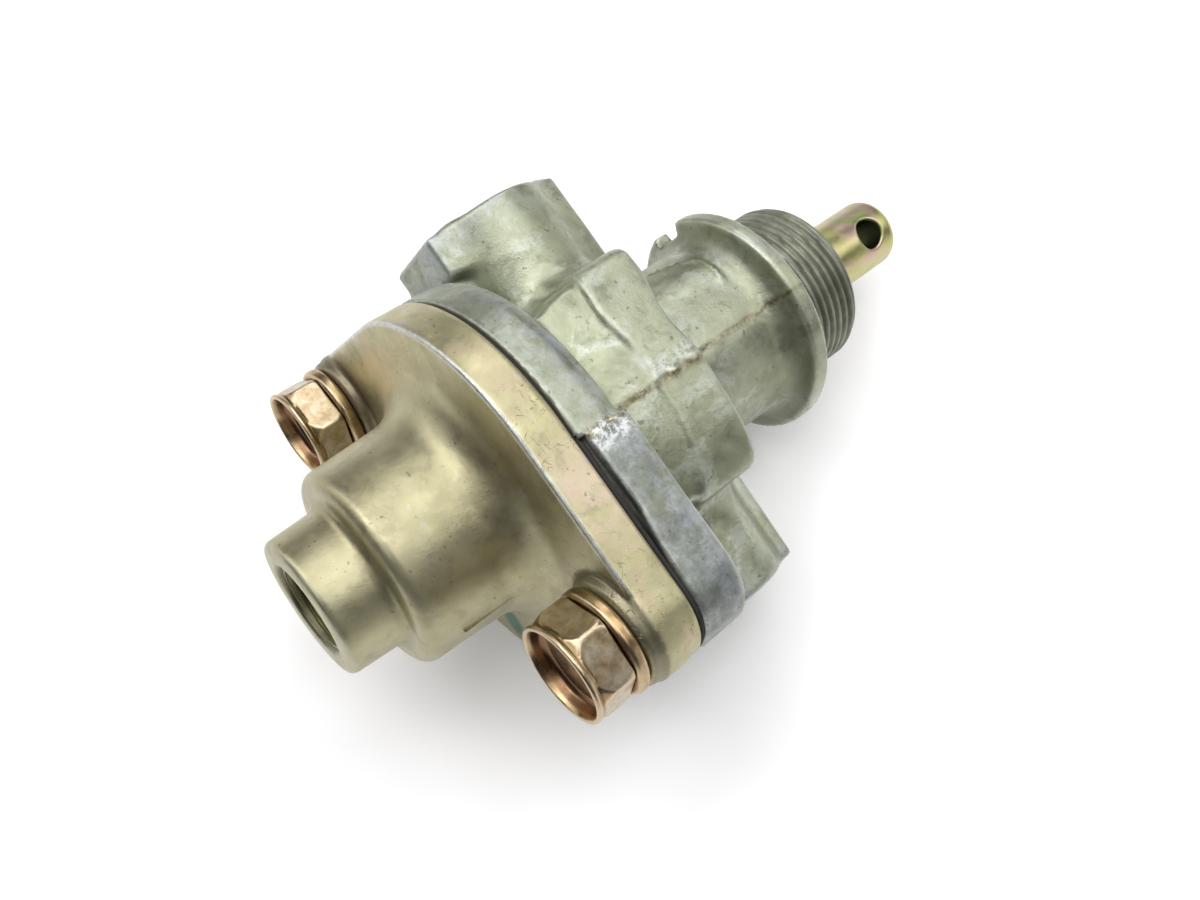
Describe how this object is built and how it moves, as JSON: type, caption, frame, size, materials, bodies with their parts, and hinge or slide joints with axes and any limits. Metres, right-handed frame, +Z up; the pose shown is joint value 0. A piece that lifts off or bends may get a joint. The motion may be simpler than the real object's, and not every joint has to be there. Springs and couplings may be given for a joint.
{
  "type": "push-pull control valve",
  "caption": "Push-pull air control valve: die-cast body with side ports, bolted exhaust cover, threaded panel collar and a spring-returned plunger stem.",
  "frame": {"origin": "under the middle of the valve as it lies on a bench, at the height of the bench", "axes": "+Z up; +X along the bench towards the plunger's stem, with the valve's own axis leaning down from it by the angle at which flange and collar both touch the bench; +Y towards the supply port's side"},
  "size_m": [0.111, 0.072, 0.0557],
  "materials": {
    "die_casting": "raw as-cast metal, dull grey-green and mottled",
    "gold_casting": "yellow chromate on a casting, satin with a faint sheen",
    "gold_zinc": "zinc plated with a copper-gold iridescent passivate",
    "yellow_zinc": "yellow zinc plating on a turned surface",
    "spring_steel": "bright steel",
    "black_rubber": "matt",
    "gasket_sheet": "matt compressed sheet",
    "acetal": "off-white, satin"
  },
  "bodies": {
    "housing": {"valve_body": "die_casting", "exhaust_cover": "gold_casting", "cover_gasket": "gasket_sheet", "cap_screw_upper": "gold_zinc", "cap_screw_lower": "gold_zinc", "lock_washer_upper": "gold_zinc", "lock_washer_lower": "gold_zinc", "plunger_guide_bush": "acetal", "stem_wiper_ring": "black_rubber", "bush_retaining_ring": "spring_steel", "spring_seat_washer": "spring_steel", "plunger_return_spring": "spring_steel"},
    "sliding_seal": {"plunger_o_ring": "black_rubber"},
    "plunger": {"plunger": "yellow_zinc", "inlet_valve_disc": "black_rubber", "inlet_valve_backing": "spring_steel", "valve_spacer_sleeve": "spring_steel", "exhaust_valve_backing": "spring_steel", "exhaust_valve_disc": "black_rubber", "nut_washer": "spring_steel", "valve_lock_nut": "spring_steel"}
  },
  "joints": [
    {"name": "plunger_slide", "type": "slide", "parent": "housing", "child": "sliding_seal", "axis": [-0.9758, 0, 0.2186], "range_m": [0, 0.0064], "stiffness_N_per_m": 2650, "springref_m": -0.003, "deforming": ["plunger_return_spring"]},
    {"name": "plunger_turn", "type": "hinge", "parent": "sliding_seal", "child": "plunger", "pos_m": [0.01054, 0, 0.02069], "axis": [0.9758, 0, -0.2186], "continuous": true}
  ]
}
